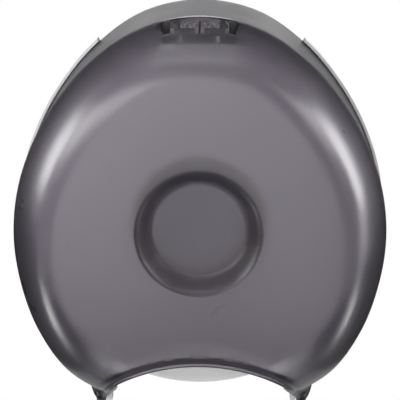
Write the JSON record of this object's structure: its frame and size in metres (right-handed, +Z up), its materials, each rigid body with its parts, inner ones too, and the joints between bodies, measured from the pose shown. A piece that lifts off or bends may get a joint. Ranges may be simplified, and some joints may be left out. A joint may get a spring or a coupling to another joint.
{
  "type": "jumbo toilet roll dispenser",
  "caption": "Wall dispenser for a jumbo toilet roll: egg-shaped smoke cover with a round dimple and arched bottom, hinged on a grey back plate, with key lock and turning hub.",
  "frame": {"origin": "on the wall plane at the spindle axis, in the middle of the four wall screw holes", "axes": "+Y into the wall, +Z up, +X to the right as seen from the front"},
  "size_m": [0.262, 0.1412, 0.3001],
  "materials": {
    "grey_plastic": "moulded satin",
    "zinc_steel": "zinc plated",
    "screw_steel": "zinc plated",
    "pin_black": "smooth",
    "hub_plastic": "moulded satin",
    "sleeve_plastic": "moulded satin",
    "cardboard": "uncoated card",
    "tissue": "soft paper",
    "smoke_plastic": "smoky see-through satin gloss",
    "lock_plastic": "smooth",
    "spring_steel": "bright wire"
  },
  "bodies": {
    "back": {"back_plate": "grey_plastic", "keeper_plate": "zinc_steel", "keeper_screws": "screw_steel", "spindle_post": "grey_plastic", "spindle_screws": "screw_steel", "drag_washer": "zinc_steel", "retaining_cap": "grey_plastic", "cap_screw": "screw_steel", "hinge_pin_left": "pin_black", "hinge_pin_right": "pin_black"},
    "hub": {"core_hub": "hub_plastic", "core_sleeve": "sleeve_plastic", "paper_core": "cardboard", "paper_roll": "tissue"},
    "cover": {"cover_shell": "smoke_plastic", "lock_tray": "sleeve_plastic", "lock_screws": "screw_steel", "latch_spring_left": "spring_steel", "latch_spring_right": "spring_steel"},
    "left_latch": {"latch_left": "lock_plastic"},
    "right_latch": {"latch_right": "lock_plastic"}
  },
  "joints": [
    {"name": "cover_hinge", "type": "hinge", "parent": "back", "child": "cover", "pos_m": [0, -0.0125, -0.1515], "axis": [1, 0, 0], "range_deg": [0, 90]},
    {"name": "hub_spin", "type": "hinge", "parent": "back", "child": "hub", "pos_m": [0, 0, 0], "axis": [0, 1, 0], "continuous": true},
    {"name": "latch_left_slide", "type": "slide", "parent": "cover", "child": "left_latch", "axis": [-1, 0, 0], "range_m": [0, 0.0032], "stiffness_N_per_m": 300, "springref_m": 0.004, "deforming": ["latch_spring_left"]},
    {"name": "latch_right_slide", "type": "slide", "parent": "cover", "child": "right_latch", "axis": [1, 0, 0], "range_m": [0, 0.0032], "stiffness_N_per_m": 300, "springref_m": 0.004, "deforming": ["latch_spring_right"]}
  ]
}
